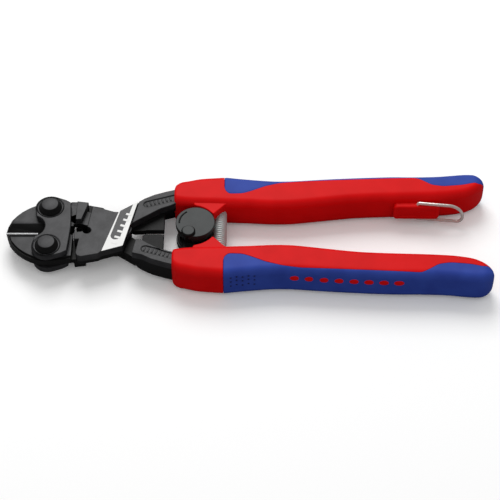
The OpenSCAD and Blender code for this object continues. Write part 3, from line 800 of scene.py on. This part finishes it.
# %% The block and the bow
block_low, block_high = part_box("tether_housing")
centre = (block_low + block_high) / 2
size = block_high - block_low
bm = bmesh.new()
bmesh.ops.create_cube(bm, size=1, matrix=Matrix.Translation(centre) @ Matrix.Diagonal((*size, 1)))
corners = [e for e in bm.edges if abs(e.verts[0].co.y - e.verts[1].co.y) > MM]
bmesh.ops.bevel(bm, geom=corners, offset=1.7 * MM, segments=6, profile=0.5, affect="EDGES", material=-1)
rims = [e for e in bm.edges if e.calc_face_angle(0) > math.radians(50)]
bmesh.ops.bevel(bm, geom=rims, offset=0.7 * MM, segments=4, profile=0.5, affect="EDGES", material=-1)
face = min(bm.faces, key=lambda f: (round(f.calc_center_median().y / MM, 2), -f.calc_area()))
bmesh.ops.inset_region(bm, faces=[face], thickness=0.9 * MM, depth=0)
bmesh.ops.inset_region(bm, faces=[face], thickness=0.15 * MM, depth=-0.25 * MM)
new_piece("tether_block", bm, "upper_handle", red_plastic, ["tether_housing"], 50)

bail_low, bail_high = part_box("tether_bail")
print("block", [round(c / MM, 1) for c in size], "bow", [round(c / MM, 1) for c in bail_high - bail_low])

# %% [markdown]
# The bow's path starts inside the block, turns along the tool, goes round its far end and comes back.
# One helper rounds a corner of the path with an arc.

# %% Bend the bow
hinge = next(j for j in frame["joints"] if j["name"] == "tether_bail_swing")
pin = Vector(hinge["pos_m"])
BOW_WIRE = 1.3 * MM
half_width = (bail_high.z - bail_low.z - BOW_WIRE) / 2
lean = math.radians(6)
reach = (bail_high.x - pin.x - BOW_WIRE / 2) / math.cos(lean)
out = Vector((math.cos(lean), -math.sin(lean), 0))
up = Vector((0, 0, 1))


def bend(corner, before, after, radius, count):
    """Points round a corner, from one direction to another at a right angle to it."""
    heart = corner - before * radius + after * radius
    return [heart + radius * (before * math.sin(a) - after * math.cos(a))
            for a in spaced(0, math.pi / 2, count)]


path = [pin + up * (half_width - 2 * MM)] + bend(pin + up * half_width, up, out, 0.8 * MM, 7)
path += bend(pin + up * half_width + out * reach, out, -up, 6.2 * MM, 16)
path += bend(pin - up * half_width + out * reach, -up, -out, 2.4 * MM, 10)
path += bend(pin - up * half_width, -out, up, 0.8 * MM, 7) + [pin - up * (half_width - 2 * MM)]
new_piece("tether_bow", wire(path, BOW_WIRE / 2, 14), "tether_bail", nickel,
          ["tether_bail"], 60)
print("bow reaches", round(reach / MM, 1), "mm past its hinge")

# %% [markdown]
# ## The studio
# The tool lies on white and is lit from behind. The tops catch the light, and the sides that face the
# camera stay dark. The table is white to the camera, with a faint glow that takes it to full white. It
# is darker to bounced light, which keeps those sides dark, as black cards do in a product studio.

# %% Table
def table_finish():
    """White card: bright to the camera, and darker to light that bounces."""
    material = bpy.data.materials.new("white_card")
    material.use_nodes = True
    tree = material.node_tree
    tree.nodes.clear()
    card = add(tree, "ShaderNodeBsdfDiffuse", {"Color": linear("#FFFFFF")})
    glow = add(tree, "ShaderNodeEmission", {"Color": linear("#FFFFFF"), "Strength": 0.09})
    seen = add(tree, "ShaderNodeAddShader", links={0: card.outputs[0], 1: glow.outputs[0]})
    bounced = add(tree, "ShaderNodeBsdfDiffuse", {"Color": linear("#8C8C8E")})
    ray = add(tree, "ShaderNodeLightPath").outputs["Is Camera Ray"]
    both = add(tree, "ShaderNodeMixShader",
               links={0: ray, 1: bounced.outputs[0], 2: seen.outputs[0]})
    add(tree, "ShaderNodeOutputMaterial", links={"Surface": both.outputs[0]})
    return material


bm = bmesh.new()
bmesh.ops.create_grid(bm, x_segments=1, y_segments=1, size=2)
mesh = bpy.data.meshes.new("table")
bm.to_mesh(mesh)
bm.free()
mesh.materials.append(table_finish())
table = bpy.data.objects.new("table", mesh)
bpy.context.scene.collection.objects.link(table)
print("table 4 m square")

# %% [markdown]
# Soft light is wide light. The key lamp is half a metre square, more than twice the tool's length. It
# hangs above and behind the tool, a little to the left, so shadows fall towards the camera. The world
# fills them from all round. It is much darker to glossy rays, so the flat tops mirror mostly the lamp.

# %% Lamp and world
KEY_SPOT = Vector((-0.08, 0.56, 0.66))
key = bpy.data.lights.new("key", "AREA")
key.shape = "SQUARE"
key.size = 0.5
key.energy = 4.4
key_lamp = bpy.data.objects.new("key", key)
bpy.context.scene.collection.objects.link(key_lamp)
key_lamp.location = KEY_SPOT
key_lamp.rotation_euler = KEY_SPOT.to_track_quat("Z", "Y").to_euler()

world = bpy.data.worlds.new("studio")
bpy.context.scene.world = world
world.use_nodes = True
sky = world.node_tree
sky.nodes.clear()
ray = add(sky, "ShaderNodeLightPath").outputs["Is Glossy Ray"]
strength = add(sky, "ShaderNodeMapRange", {"To Min": 0.58, "To Max": 0.1}, {"Value": ray})
backdrop = add(sky, "ShaderNodeBackground", {"Color": linear("#FFFFFF")},
               {"Strength": strength.outputs["Result"]})
add(sky, "ShaderNodeOutputWorld", links={"Surface": backdrop.outputs["Background"]})
bpy.context.scene.view_settings.view_transform = "Standard"
print("one lamp and the world")

# %% [markdown]
# The camera looks down at the tool from the front, at about 50 degrees, through a long lens. A long lens
# keeps the two grips almost parallel, as a product picture does.

# %% Camera
TARGET = Vector((1.25, -8.45, 7.35)) * MM
RISE = math.radians(49.6)
TURN_ROUND = math.radians(0.2)
FAR = 0.676
camera = bpy.data.objects.new("camera", bpy.data.cameras.new("camera"))
bpy.context.scene.collection.objects.link(camera)
camera.data.lens = 118.2
camera.data.sensor_width = 36
direction = Vector((math.sin(TURN_ROUND) * math.cos(RISE), -math.cos(TURN_ROUND) * math.cos(RISE),
                    math.sin(RISE)))
camera.location = TARGET + direction * FAR
camera.rotation_euler = direction.to_track_quat("Z", "Y").to_euler()
bpy.context.scene.camera = camera
print("camera at", [round(c, 3) for c in camera.location])
